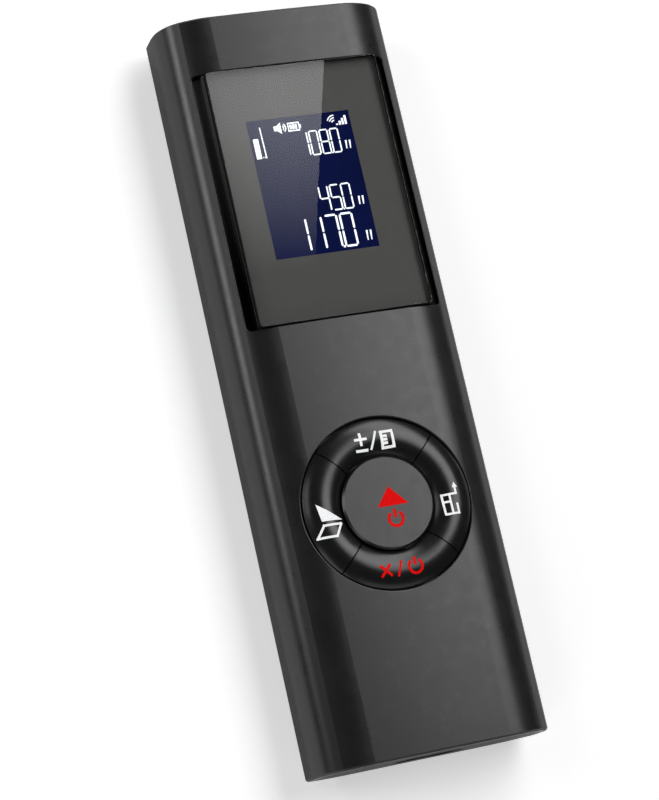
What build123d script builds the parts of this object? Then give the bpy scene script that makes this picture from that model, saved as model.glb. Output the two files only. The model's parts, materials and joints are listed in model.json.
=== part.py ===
from build123d import *
from math import acos, cos, degrees, radians, sin
import os

# Pocket laser distance meter, lying on its back.
# Origin: centre of the footprint on the rest plane.  +Z: out through the display face.
# +Y: towards the laser end.  -Y: towards the base end, which is the measuring reference.
os.makedirs("parts", exist_ok=True)

# ---------------------------------------------------------------- driving dimensions (mm)
LENGTH = 100.0
WIDTH = 32.0
THICKNESS = 11.6
PARTING = 2.55  # height of the joint between rear cover and front housing
WALL = 1.2
BACK_WALL = 1.0
FIT = 0.1  # clearance around a fixed part set into another
TOUCH = 0.02  # gap between stacked parts that rest on each other
LIP_W = 1.4  # locating lip of the rear cover
LIP_H = 0.9
LIP_L = 84.0
FENCE_T = 0.8  # ribs that hold the battery
FENCE_H = 1.3

# Front outline: a nearly flat crown, a cheek and a rounded shoulder, all tangent
CROWN_R = 290.0
CROWN_TURN = 1.8
CHEEK_R = 10.2
CHEEK_TURN = 25.0
# Back outline: a flat to rest on, then an arc up to the parting line
BACK_FLAT = 9.0
BACK_EDGE = 15.4
END_ROUND = 0.25
SEAM_ROUND = 0.45
RIM_ROUND = 0.15
RIM_LOW = 10.0  # both openings meet the outer surface above this height

# Display window, let into the front housing
WINDOW_LOW = 7.1
WINDOW_HIGH = 42.2
WINDOW_X = 0.4  # the window sits slightly to one side of the display
WINDOW_W = 23.9
WINDOW_PROUD = 0.15
WINDOW_T = 0.9
WINDOW_BEVEL = 0.15
WINDOW_CORNER = 0.5
GROOVE = 1.45  # dark channel each side of the window
MASK_T = 0.15
LCD_W = 14.35
LCD_LOW = 15.95
LCD_HIGH = 35.1

# Display module
BEZEL_LOW = 8.3
GROOVE_FLOOR = 9.3
GLASS_W = 17.2
GLASS_L = 24.8
GLASS_T = 1.3
CONTACT_LEDGE = 2.4
FRAME_W = 19.5
FRAME_L = 27.0
FRAME_FLOOR = 8.15
STRIP_W = 15.0
STRIP_T = 1.5

# Keypad: a round button inside a ring of four keys
PAD_Y = -18.0
PAD_R = 11.35
COLLAR_T = 1.2
BUTTON_R = 6.1
KEY_GAP = 0.16
KEY_EDGE = 11.25  # height of the ring's inner and outer edges
KEY_CREST = 12.1
BUTTON_TOP = 11.95
BUTTON_CHAMFER = 0.25
TRAVEL = 0.30
COLLAR_LOW = 8.85
OPENING_LOW = 7.85
FLANGE_LOW = 8.2
FLANGE_T = 0.55
FLANGE_R = 12.0
FLANGE_STEP = 1.0  # how far the keys stand back below to clear the button's flange
STUB_R = 1.0
DOME_R = 2.0
DOME_H = 0.42
DOME_T = 0.08
SHEET_T = 0.28

# Board and battery stack
BOARD_TOP = 7.5
BOARD_T = 1.0
BOARD_W = 26.6
BOARD_LOW_END = -42.2
BOARD_HIGH_END = 23.6
TAIL_W = 18.4
TAIL_END = -47.2
CELL = (18.0, 36.0, 3.9)
CELL_Y = -18.0
PAD_T = 0.3
LEAD_R = 0.35
LEAD_SPACING = 1.8
PLUG = (4.4, 3.0, 1.9)
PLUG_PLACE = (-2.6, 4.4)
PROCESSOR = (7.0, 7.0, 0.9)
PROCESSOR_PLACE = (4.5, 8.5)
MEMORY = (5.0, 4.0, 0.8)
MEMORY_PLACE = (4.5, 16.0)
COMPONENT = (1.2, 0.7, 0.6)
COMPONENTS_Y = 20.5
SHIELD = (13.0, 8.0, 1.6)
SHIELD_Y = 0.8
SHIELD_T = 0.2
BUZZER_R = 4.2
BUZZER_H = 2.4
BUZZER_PLACE = (-7.4, 12.0)

# Charging socket
PORT_W = 9.3
PORT_H = 3.5
SOCKET_W = 8.94
SOCKET_H = 3.16
SOCKET_T = 0.3
SOCKET_L = 7.3
SOCKET_INSET = 0.4
SOCKET_DROP = 1.62  # from the board's underside to the socket's axis
TONGUE_W = 6.7
TONGUE_T = 0.7
TONGUE_BASE = 2.2

# Optics, side by side behind the laser end
OPTIC_Z = 5.3
LASER_X = -6.4
RECEIVER_X = 4.0
BARREL_R = 2.0
BARREL_T = 0.6
BARREL_L = 16.0
BARREL_END = 47.0
LENS_R = 3.5
LENS_END = 45.4
LENS_BULGE = 1.0
CAP_T = 2.0
EMITTER_R = 2.4
GLAZING_T = 0.75
GLAZING_INSET = 0.2
GLAZING_SEAT = 1.0
CHASSIS_W = 18.4
CHASSIS_FLOOR = 1.2
CHASSIS_LOW_END = 26.0
CHASSIS_HIGH_END = 47.4
EAR_LOW_END = 19.4
EAR_W = 3.4
EAR_T = 2.0
EAR_X = 11.3
WEB_X = 9.9
WEB_L = 4.0
NOSE_TOP = 9.4
NOSE_L = 4.8
SHELF_L = 8.2
FILTER_R = 1.85
FILTER_END = 30.6
DETECTOR_BOARD = (9.0, 4.2)
PHOTODIODE = (2.2, 2.0, 1.28)
# receiver bores: radius, and how far back each one reaches
RECEIVER_BORES = [(LENS_R + 0.05, 44.6), (3.0, 42.8), (2.6, 39.2), (1.9, 30.0), (1.7, 26.0)]

# Screws
SCREW_R = 0.8
PILOT_R = 0.84
SCREW_HEAD_R = 1.35
SCREW_HEAD_H = 0.6
RECESS_L = 1.5
RECESS_W = 0.35
HOUSING_SCREW_L = 5.0
BOARD_SCREW_L = 3.0
CHASSIS_SCREW_L = 2.8
HOUSING_SEAT_Z = 1.08
HOUSING_POST_R = 1.7
HOUSING_SEAT_R = 1.95
BOARD_POST_R = 1.5

# ---------------------------------------------------------------- derived dimensions
WINDOW_Y = (WINDOW_LOW + WINDOW_HIGH) / 2
WINDOW_CENTRE = (WINDOW_X, WINDOW_Y)
WINDOW_L = WINDOW_HIGH - WINDOW_LOW
OPENING_W = WINDOW_W + 2 * GROOVE
OPENING_L = WINDOW_L + 0.1
OPENING_CORNER = WINDOW_CORNER + 0.2
MASK_TOP = THICKNESS + WINDOW_PROUD - WINDOW_T
LEDGE = MASK_TOP - MASK_T
LCD_TOP = LEDGE - 0.05
LCD_Y = (LCD_LOW + LCD_HIGH) / 2
BOARD_LOW = BOARD_TOP - BOARD_T
KEY_INNER = BUTTON_R + KEY_GAP
KEY_OUTER = PAD_R - KEY_GAP
KEY_MID = (KEY_INNER + KEY_OUTER) / 2
BUTTON_FLANGE_R = KEY_INNER + FLANGE_STEP - 0.25
CROWN_END = CROWN_R * sin(radians(CROWN_TURN))
CHEEK_END = CROWN_END + CHEEK_R * (sin(radians(CHEEK_TURN)) - sin(radians(CROWN_TURN)))
SHOULDER_R = (WIDTH / 2 - CHEEK_END) / (1 - sin(radians(CHEEK_TURN)))
BACK_R = ((BACK_EDGE - BACK_FLAT) ** 2 + PARTING**2) / (2 * PARTING)
SOCKET_Z = BOARD_LOW - SOCKET_DROP
SOCKET_MOUTH_Y = -LENGTH / 2 + SOCKET_INSET
SOCKET_CORNER = SOCKET_H / 2 - 0.08
STRIP_Y = LCD_Y - GLASS_L / 2 + CONTACT_LEDGE / 2
CELL_LOW = BACK_WALL + PAD_T + 2 * TOUCH
STUB_LOW = BOARD_TOP + DOME_H + TOUCH

CHASSIS_L = CHASSIS_HIGH_END - CHASSIS_LOW_END
DIODE_END = BARREL_END - BARREL_L

PAD_CENTRE = (0, PAD_Y)
ON_BASE = (Align.CENTER, Align.CENTER, Align.MIN)
HANGING = (Align.CENTER, Align.CENTER, Align.MAX)
HOUSING_SCREWS = [(x, y) for x in (-11.2, 11.2) for y in (-45.0, 45.0)]
BOARD_SCREWS = [(x, y) for x in (-11.4, 11.4) for y in (-34.0, 3.2)]
CHASSIS_SCREWS = [(x, 21.4) for x in (-11.4, 11.4)]
DOME_PLACES = [(0, PAD_Y)] + [
    (KEY_MID * cos(radians(a)), PAD_Y + KEY_MID * sin(radians(a)))
    for a in (0, 90, 180, 270)
]


def across(y):
    """Plane across the body at y: sketch x runs along X and sketch y along Z."""
    return Plane.XZ.offset(-y)


def body_face(y, inset=0.0, back_inset=0.0):
    """Whole cross-section of the body at y, drawn inset from its outer surface."""
    back_r = BACK_R - back_inset
    back_turn = degrees(acos((BACK_R - PARTING) / back_r))
    with BuildSketch(across(y)) as face:
        with BuildLine():
            crown = JernArc((0, THICKNESS - inset), (1, 0), CROWN_R - inset, -CROWN_TURN)
            cheek = JernArc(crown @ 1, crown % 1, CHEEK_R - inset, CROWN_TURN - CHEEK_TURN)
            shoulder = JernArc(cheek @ 1, cheek % 1, SHOULDER_R - inset, CHEEK_TURN - 90)
            side = Line(shoulder @ 1, (WIDTH / 2 - inset, PARTING))
            floor = Line((0, back_inset), (BACK_FLAT, back_inset))
            back = JernArc(floor @ 1, (1, 0), back_r, back_turn)
            Line(back @ 1, side @ 1)
            mirror(about=Plane.YZ)
        make_face()
    return face.sketch


def pan_screw(length, head_up=True):
    """Cross-recess screw with its head's seat at the origin and its shank pointing away."""
    with BuildPart() as screw:
        Cylinder(SCREW_HEAD_R, SCREW_HEAD_H, align=ON_BASE)
        fillet(screw.edges().group_by(Axis.Z)[-1], 0.2)
        Cylinder(SCREW_R, length, align=HANGING)
        with BuildSketch(Plane.XY.offset(SCREW_HEAD_H)):
            Rectangle(RECESS_L, RECESS_W)
            Rectangle(RECESS_W, RECESS_L)
        extrude(amount=-SCREW_HEAD_H / 2, mode=Mode.SUBTRACT)
    return screw.part if head_up else screw.part.rotate(Axis.X, 180)


def end_plate(outer_y, inner_y):
    """Plate that closes the shell between two planes, just clear of its inner surface."""
    with BuildPart() as plate:
        extrude(body_face(outer_y, WALL + FIT, BACK_WALL + FIT), amount=outer_y - inner_y)
    return plate.part


def ring_key(angle):
    """One quarter of the key ring, with its retaining flange and the stub that presses its dome."""
    rebate = FLANGE_LOW + FLANGE_T + TRAVEL + 0.2
    along = Vector(cos(radians(angle)), sin(radians(angle)))
    with BuildPart() as key:
        with BuildSketch(across(PAD_Y)):
            with BuildLine():
                crest = ThreePointArc((KEY_INNER, KEY_EDGE), (KEY_MID, KEY_CREST), (KEY_OUTER, KEY_EDGE))
                Polyline(
                    crest @ 1,
                    (KEY_OUTER, FLANGE_LOW + FLANGE_T),
                    (FLANGE_R, FLANGE_LOW + FLANGE_T),
                    (FLANGE_R, FLANGE_LOW),
                    (KEY_INNER + FLANGE_STEP, FLANGE_LOW),
                    (KEY_INNER + FLANGE_STEP, rebate),
                    (KEY_INNER, rebate),
                    crest @ 0,
                )
            make_face()
        revolve(axis=Axis((0, PAD_Y, 0), (0, 0, 1)))
        # keep the quarter that lies within 45 degrees of the key's direction
        with BuildSketch(Plane((0, PAD_Y, 0), x_dir=(along.X, along.Y, 0))):
            with BuildLine():
                apex = KEY_GAP / 2**0.5
                reach = 2 * PAD_R
                Polyline((apex, 0), (apex + reach, reach), (apex + reach, -reach), close=True)
            make_face()
        extrude(amount=2 * THICKNESS, mode=Mode.INTERSECT)
        with Locations((KEY_MID * along.X, PAD_Y + KEY_MID * along.Y, STUB_LOW)):
            Cylinder(STUB_R, FLANGE_LOW + FLANGE_T - STUB_LOW, align=ON_BASE)
    return key.part


def snap_dome():
    """Thin spherical cap of spring steel standing on the origin plane."""
    dome_radius = (DOME_R**2 + DOME_H**2) / (2 * DOME_H)
    with BuildPart() as dome:
        with Locations((0, 0, DOME_H - dome_radius)):
            Sphere(dome_radius)
            Sphere(dome_radius - DOME_T, mode=Mode.SUBTRACT)
        split(bisect_by=Plane.XY, keep=Keep.TOP)
    return dome.part


# ================================================================ housing
with BuildPart() as inside:
    extrude(body_face(0, WALL, BACK_WALL), amount=LENGTH / 2, both=True)

with BuildPart() as front_hollow:
    add(inside.part)
    # guide collar of the keypad
    with BuildSketch(Plane.XY.offset(COLLAR_LOW)):
        with Locations(PAD_CENTRE):
            Circle(PAD_R + COLLAR_T)
    extrude(amount=THICKNESS, mode=Mode.SUBTRACT)
    # posts that the board is screwed to
    with BuildSketch(Plane.XY.offset(BOARD_TOP + TOUCH)):
        with Locations(*BOARD_SCREWS):
            Circle(BOARD_POST_R)
    extrude(amount=THICKNESS, mode=Mode.SUBTRACT)
    # posts for the housing screws, above the parting line
    with BuildSketch(Plane.XY.offset(PARTING)):
        with Locations(*HOUSING_SCREWS):
            Circle(HOUSING_POST_R)
    extrude(amount=THICKNESS, mode=Mode.SUBTRACT)

with BuildPart() as front_housing:
    extrude(body_face(0), amount=LENGTH / 2, both=True)
    split(bisect_by=Plane.XY.offset(PARTING), keep=Keep.TOP)
    fillet(front_housing.edges().filter_by(Axis.Y).group_by(Axis.Z)[0], SEAM_ROUND)
    end_edges = front_housing.edges().group_by(Axis.Y)
    chamfer(end_edges[0] + end_edges[-1], END_ROUND)
    add(front_hollow.part, mode=Mode.SUBTRACT)
    # openings for the keypad and the window, their rims rounded on the outer surface
    with BuildSketch(Plane.XY.offset(OPENING_LOW)):
        with Locations(PAD_CENTRE):
            Circle(PAD_R)
        with Locations(WINDOW_CENTRE):
            RectangleRounded(OPENING_W, OPENING_L, OPENING_CORNER)
    extrude(amount=THICKNESS, mode=Mode.SUBTRACT)
    rims = front_housing.edges(Select.LAST).filter_by(lambda e: e.bounding_box().min.Z > RIM_LOW)
    fillet(rims, RIM_ROUND)
    # pilot holes in the posts
    with Locations(*[(x, y, BOARD_TOP) for x, y in BOARD_SCREWS]):
        Cylinder(PILOT_R, BOARD_SCREW_L - BOARD_T + 0.4, align=ON_BASE, mode=Mode.SUBTRACT)
    with Locations(*[(x, y, PARTING) for x, y in HOUSING_SCREWS]):
        Cylinder(PILOT_R, HOUSING_SCREW_L, align=ON_BASE, mode=Mode.SUBTRACT)
front_housing.part.label = "front_housing"
export_step(front_housing.part, "parts/front_housing.step")

with BuildPart() as cover_hollow:
    add(inside.part)
    # fences that hold the battery
    with BuildSketch(Plane.XY.offset(BACK_WALL - 0.2)):
        with GridLocations(CELL[0] + FENCE_T + 0.6, 1, 2, 1):
            with Locations((0, CELL_Y)):
                Rectangle(FENCE_T, CELL[1] - 8)
    extrude(amount=FENCE_H + 0.2, mode=Mode.SUBTRACT)
    # seats of the housing screws
    with BuildSketch(Plane.XY):
        with Locations(*HOUSING_SCREWS):
            Circle(HOUSING_SEAT_R)
    extrude(amount=THICKNESS, mode=Mode.SUBTRACT)

with BuildPart() as rear_cover:
    extrude(body_face(0), amount=LENGTH / 2, both=True)
    with BuildSketch(Plane.XY):
        Rectangle(2 * BACK_EDGE, LENGTH)
    extrude(amount=PARTING - TOUCH, mode=Mode.INTERSECT)
    add(cover_hollow.part, mode=Mode.SUBTRACT)
    # locating lip along each long side, inside the housing wall
    lip_root = PARTING - 0.6
    with BuildSketch(Plane.XY.offset(lip_root)):
        with GridLocations(WIDTH - 2 * (WALL + FIT) - LIP_W, 1, 2, 1):
            Rectangle(LIP_W, LIP_L)
    extrude(amount=PARTING + LIP_H - lip_root)
    with Locations(*HOUSING_SCREWS):
        Cylinder(SCREW_HEAD_R + 0.15, 2 * (HOUSING_SEAT_Z + TOUCH), mode=Mode.SUBTRACT)
        Cylinder(SCREW_R + FIT, 2 * THICKNESS, mode=Mode.SUBTRACT)
rear_cover.part.label = "rear_cover"
export_step(rear_cover.part, "parts/rear_cover.step")

with BuildPart() as base_end_cap:
    add(end_plate(-LENGTH / 2, -LENGTH / 2 + CAP_T))
    with BuildSketch(across(-LENGTH / 2)):
        with Locations((0, SOCKET_Z)):
            RectangleRounded(PORT_W, PORT_H, PORT_H / 2 - 0.05)
    extrude(amount=-CAP_T, mode=Mode.SUBTRACT)
base_end_cap.part.label = "base_end_cap"
export_step(base_end_cap.part, "parts/base_end_cap.step")

with BuildPart() as laser_end_cap:
    add(end_plate(LENGTH / 2, LENGTH / 2 - CAP_T))
    with BuildSketch(across(LENGTH / 2)):
        with Locations((LASER_X, OPTIC_Z)):
            Circle(EMITTER_R - 0.6)
        with Locations((RECEIVER_X, OPTIC_Z)):
            Circle(LENS_R - 0.3)
    extrude(amount=CAP_T, mode=Mode.SUBTRACT)
    # seats that the two windows drop into from outside
    with BuildSketch(across(LENGTH / 2)):
        with Locations((LASER_X, OPTIC_Z)):
            Circle(EMITTER_R + FIT / 2)
        with Locations((RECEIVER_X, OPTIC_Z)):
            Circle(LENS_R + 0.2 + FIT / 2)
    extrude(amount=GLAZING_SEAT, mode=Mode.SUBTRACT)
laser_end_cap.part.label = "laser_end_cap"
export_step(laser_end_cap.part, "parts/laser_end_cap.step")

with BuildPart() as emitter_window:
    with BuildSketch(across(LENGTH / 2 - GLAZING_INSET)):
        with Locations((LASER_X, OPTIC_Z)):
            Circle(EMITTER_R)
    extrude(amount=GLAZING_T)
    chamfer(emitter_window.edges().group_by(Axis.Y)[-1], 0.15)
emitter_window.part.label = "emitter_window"
export_step(emitter_window.part, "parts/emitter_window.step")

with BuildPart() as receiver_window:
    with BuildSketch(across(LENGTH / 2 - GLAZING_INSET)):
        with Locations((RECEIVER_X, OPTIC_Z)):
            Circle(LENS_R + 0.2)
    extrude(amount=GLAZING_T)
    chamfer(receiver_window.edges().group_by(Axis.Y)[-1], 0.15)
receiver_window.part.label = "receiver_window"
export_step(receiver_window.part, "parts/receiver_window.step")

with BuildPart() as housing_screws:
    with Locations(*[(x, y, HOUSING_SEAT_Z) for x, y in HOUSING_SCREWS]):
        add(pan_screw(HOUSING_SCREW_L, head_up=False))
housing_screws.part.label = "housing_screws"
export_step(housing_screws.part, "parts/housing_screws.step")

# ================================================================ display
with BuildPart() as display_window:
    with BuildSketch(Plane.XY.offset(MASK_TOP)):
        with Locations(WINDOW_CENTRE):
            RectangleRounded(WINDOW_W, WINDOW_L, WINDOW_CORNER)
    extrude(amount=WINDOW_T)
    fillet(display_window.edges().group_by(Axis.Z)[-1], WINDOW_BEVEL)
display_window.part.label = "display_window"
export_step(display_window.part, "parts/display_window.step")

with BuildPart() as window_mask:
    with BuildSketch(Plane.XY.offset(LEDGE + TOUCH)):
        with Locations(WINDOW_CENTRE):
            RectangleRounded(WINDOW_W, WINDOW_L, WINDOW_CORNER)
        with Locations((0, LCD_Y)):
            Rectangle(LCD_W, LCD_HIGH - LCD_LOW, mode=Mode.SUBTRACT)
    extrude(amount=MASK_T - 2 * TOUCH)
window_mask.part.label = "window_mask"
export_step(window_mask.part, "parts/window_mask.step")

with BuildPart() as window_bezel:
    with BuildSketch(Plane.XY.offset(BEZEL_LOW)):
        with Locations(WINDOW_CENTRE):
            RectangleRounded(OPENING_W - 2 * FIT, OPENING_L - 2 * FIT, OPENING_CORNER)
        with Locations((0, LCD_Y)):
            Rectangle(FRAME_W + 2 * FIT, FRAME_L + 2 * FIT, mode=Mode.SUBTRACT)
    extrude(amount=LEDGE - BEZEL_LOW)
    # the channel either side of the window
    with BuildSketch(Plane.XY.offset(GROOVE_FLOOR)):
        with Locations(WINDOW_CENTRE):
            with GridLocations(WINDOW_W + GROOVE + 2 * FIT, 1, 2, 1):
                Rectangle(GROOVE, 2 * WINDOW_L)
    extrude(amount=THICKNESS, mode=Mode.SUBTRACT)
window_bezel.part.label = "window_bezel"
export_step(window_bezel.part, "parts/window_bezel.step")

with BuildPart() as lcd_glass:
    with BuildSketch(Plane.XY.offset(LCD_TOP - GLASS_T / 2)):
        with Locations((0, LCD_Y)):
            Rectangle(GLASS_W, GLASS_L)
    extrude(amount=GLASS_T / 2)
    # the lower plate stops short, leaving a contact ledge at the keypad end
    with BuildSketch(Plane.XY.offset(LCD_TOP - GLASS_T)):
        with Locations((0, LCD_Y + CONTACT_LEDGE / 2)):
            Rectangle(GLASS_W, GLASS_L - CONTACT_LEDGE)
    extrude(amount=GLASS_T / 2)
lcd_glass.part.label = "lcd_glass"
export_step(lcd_glass.part, "parts/lcd_glass.step")

with BuildPart() as backlight_panel:
    with BuildSketch(Plane.XY.offset(FRAME_FLOOR + TOUCH)):
        with Locations((0, LCD_Y + CONTACT_LEDGE / 2)):
            Rectangle(GLASS_W - 0.4, GLASS_L - CONTACT_LEDGE - 0.2)
    extrude(amount=LCD_TOP - GLASS_T - FRAME_FLOOR - 2 * TOUCH)
backlight_panel.part.label = "backlight_panel"
export_step(backlight_panel.part, "parts/backlight_panel.step")

with BuildPart() as lcd_frame:
    with BuildSketch(Plane.XY.offset(BOARD_TOP + TOUCH)):
        with Locations((0, LCD_Y)):
            Rectangle(FRAME_W, FRAME_L)
    extrude(amount=LCD_TOP - 0.1 - BOARD_TOP)
    with BuildSketch(Plane.XY.offset(FRAME_FLOOR)):
        with Locations((0, LCD_Y)):
            Rectangle(GLASS_W + 2 * FIT, GLASS_L + 2 * FIT)
    extrude(amount=THICKNESS, mode=Mode.SUBTRACT)
    # slot for the contact strip
    with BuildSketch(Plane.XY):
        with Locations((0, STRIP_Y)):
            Rectangle(STRIP_W + 2 * FIT, STRIP_T + 2 * FIT)
    extrude(amount=THICKNESS, mode=Mode.SUBTRACT)
lcd_frame.part.label = "lcd_frame"
export_step(lcd_frame.part, "parts/lcd_frame.step")

with BuildPart() as lcd_connector:
    with BuildSketch(Plane.XY.offset(BOARD_TOP + TOUCH)):
        with Locations((0, STRIP_Y)):
            Rectangle(STRIP_W, STRIP_T)
    extrude(amount=LCD_TOP - GLASS_T / 2 - BOARD_TOP - 2 * TOUCH)
lcd_connector.part.label = "lcd_connector"
export_step(lcd_connector.part, "parts/lcd_connector.step")

# ================================================================ keypad
with BuildPart() as measure_button:
    with BuildSketch(across(PAD_Y)):
        with BuildLine():
            Polyline(
                (0, FLANGE_LOW),
                (BUTTON_FLANGE_R, FLANGE_LOW),
                (BUTTON_FLANGE_R, FLANGE_LOW + FLANGE_T),
                (BUTTON_R, FLANGE_LOW + FLANGE_T),
                (BUTTON_R, BUTTON_TOP - BUTTON_CHAMFER),
                (BUTTON_R - BUTTON_CHAMFER, BUTTON_TOP),
                (0, BUTTON_TOP),
                close=True,
            )
        make_face()
    revolve(axis=Axis((0, PAD_Y, 0), (0, 0, 1)))
    with Locations((0, PAD_Y, STUB_LOW)):
        Cylinder(STUB_R, FLANGE_LOW + FLANGE_T - STUB_LOW, align=ON_BASE)
measure_button.part.label = "measure_button"
export_step(measure_button.part, "parts/measure_button.step")

with BuildPart() as unit_key:
    add(ring_key(90))
unit_key.part.label = "unit_key"
export_step(unit_key.part, "parts/unit_key.step")

with BuildPart() as area_key:
    add(ring_key(180))
area_key.part.label = "area_key"
export_step(area_key.part, "parts/area_key.step")

with BuildPart() as clear_key:
    add(ring_key(270))
clear_key.part.label = "clear_key"
export_step(clear_key.part, "parts/clear_key.step")

with BuildPart() as reference_key:
    add(ring_key(0))
reference_key.part.label = "reference_key"
export_step(reference_key.part, "parts/reference_key.step")

with BuildPart() as dome_sheet:
    with BuildSketch(Plane.XY.offset(BOARD_TOP + TOUCH)):
        with Locations(PAD_CENTRE):
            Circle(PAD_R + 0.7)
        with Locations(*DOME_PLACES):
            Circle(DOME_R + 0.2, mode=Mode.SUBTRACT)
    extrude(amount=SHEET_T)
dome_sheet.part.label = "dome_sheet"
export_step(dome_sheet.part, "parts/dome_sheet.step")

with BuildPart() as snap_domes:
    with Locations(*[(x, y, BOARD_TOP) for x, y in DOME_PLACES]):
        add(snap_dome())
snap_domes.part.label = "snap_domes"
export_step(snap_domes.part, "parts/snap_domes.step")

# ================================================================ board
with BuildPart() as main_board:
    with BuildSketch(Plane.XY.offset(BOARD_LOW)):
        with Locations((0, (BOARD_HIGH_END + BOARD_LOW_END) / 2)):
            Rectangle(BOARD_W, BOARD_HIGH_END - BOARD_LOW_END)
        with Locations((0, (BOARD_LOW_END + TAIL_END) / 2)):
            Rectangle(TAIL_W, BOARD_LOW_END - TAIL_END)
        with Locations(*BOARD_SCREWS, *CHASSIS_SCREWS):
            Circle(SCREW_R + 0.15, mode=Mode.SUBTRACT)
    extrude(amount=BOARD_T)
main_board.part.label = "main_board"
export_step(main_board.part, "parts/main_board.step")

with BuildPart() as board_screws:
    with Locations(*[(x, y, BOARD_LOW - TOUCH) for x, y in BOARD_SCREWS]):
        add(pan_screw(BOARD_SCREW_L, head_up=False))
board_screws.part.label = "board_screws"
export_step(board_screws.part, "parts/board_screws.step")

with BuildPart() as processor_chip:
    with Locations((*PROCESSOR_PLACE, BOARD_LOW - TOUCH)):
        Box(*PROCESSOR, align=HANGING)
    chamfer(processor_chip.edges().group_by(Axis.Z)[0], 0.15)
processor_chip.part.label = "processor_chip"
export_step(processor_chip.part, "parts/processor_chip.step")

with BuildPart() as memory_chip:
    with Locations((*MEMORY_PLACE, BOARD_LOW - TOUCH)):
        Box(*MEMORY, align=HANGING)
    chamfer(memory_chip.edges().group_by(Axis.Z)[0], 0.15)
memory_chip.part.label = "memory_chip"
export_step(memory_chip.part, "parts/memory_chip.step")

with BuildPart() as board_components:
    with Locations((0, COMPONENTS_Y, BOARD_LOW - TOUCH)):
        with GridLocations(2.2, 1.8, 6, 2):
            Box(*COMPONENT, align=HANGING)
board_components.part.label = "board_components"
export_step(board_components.part, "parts/board_components.step")

with BuildPart() as shield_can:
    with Locations((0, SHIELD_Y, BOARD_TOP + TOUCH)):
        Box(*SHIELD, align=ON_BASE)
    fillet(shield_can.edges().filter_by(Axis.Z), 0.5)
    fillet(shield_can.edges().group_by(Axis.Z)[-1], 0.3)
    offset(amount=-SHIELD_T, openings=shield_can.faces().sort_by(Axis.Z)[0])
shield_can.part.label = "shield_can"
export_step(shield_can.part, "parts/shield_can.step")

with BuildPart() as buzzer:
    with Locations((*BUZZER_PLACE, BOARD_LOW - TOUCH)):
        Cylinder(BUZZER_R, BUZZER_H, align=HANGING)
        with Locations((0, 0, -BUZZER_H)):
            Cylinder(0.7, 0.6, align=ON_BASE, mode=Mode.SUBTRACT)
buzzer.part.label = "buzzer"
export_step(buzzer.part, "parts/buzzer.step")

with BuildPart() as usb_socket:
    with BuildSketch(across(SOCKET_MOUTH_Y)):
        with Locations((0, SOCKET_Z)):
            RectangleRounded(SOCKET_W, SOCKET_H, SOCKET_CORNER)
            offset(amount=-SOCKET_T, mode=Mode.SUBTRACT)
    extrude(amount=-SOCKET_L)
usb_socket.part.label = "usb_socket"
export_step(usb_socket.part, "parts/usb_socket.step")

with BuildPart() as usb_tongue:
    with BuildSketch(across(SOCKET_MOUTH_Y + SOCKET_L)):
        with Locations((0, SOCKET_Z)):
            RectangleRounded(SOCKET_W, SOCKET_H, SOCKET_CORNER)
            offset(amount=-SOCKET_T - TOUCH, mode=Mode.REPLACE)
    extrude(amount=TONGUE_BASE)
    with BuildSketch(across(SOCKET_MOUTH_Y + SOCKET_L)):
        with Locations((0, SOCKET_Z)):
            Rectangle(TONGUE_W, TONGUE_T)
    extrude(amount=SOCKET_L - 0.9)
usb_tongue.part.label = "usb_tongue"
export_step(usb_tongue.part, "parts/usb_tongue.step")

# ================================================================ battery
with BuildPart() as battery_pad:
    with Locations((0, CELL_Y, BACK_WALL + TOUCH)):
        Box(CELL[0] - 2, CELL[1] - 4, PAD_T, align=ON_BASE)
battery_pad.part.label = "battery_pad"
export_step(battery_pad.part, "parts/battery_pad.step")

with BuildPart() as battery_cell:
    with Locations((0, CELL_Y, CELL_LOW)):
        Box(*CELL, align=ON_BASE)
    fillet(battery_cell.edges().filter_by(Axis.Y), 1.2)
    fillet(battery_cell.edges().filter_by(Axis.Z), 0.3)
battery_cell.part.label = "battery_cell"
export_step(battery_cell.part, "parts/battery_cell.step")

with BuildPart() as battery_plug:
    with Locations((*PLUG_PLACE, BOARD_LOW - TOUCH)):
        Box(*PLUG, align=HANGING)
    fillet(battery_plug.edges().filter_by(Axis.Z), 0.3)
battery_plug.part.label = "battery_plug"
export_step(battery_plug.part, "parts/battery_plug.step")

with BuildPart() as battery_leads:
    for side in (-0.5, 0.5):
        lead_x = PLUG_PLACE[0] + side * LEAD_SPACING
        start = (lead_x, CELL_Y + CELL[1] / 2 + TOUCH, CELL_LOW + CELL[2] / 2)
        end = (lead_x, PLUG_PLACE[1] - PLUG[1] / 2 - TOUCH, BOARD_LOW - PLUG[2] / 2)
        with BuildLine():
            lead = Spline(start, end, tangents=[(0, 1, 0), (0, 1, 0)])
        with BuildSketch(Plane(origin=lead @ 0, z_dir=lead % 0)):
            Circle(LEAD_R)
        sweep(path=lead)
battery_leads.part.label = "battery_leads"
export_step(battery_leads.part, "parts/battery_leads.step")

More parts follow.
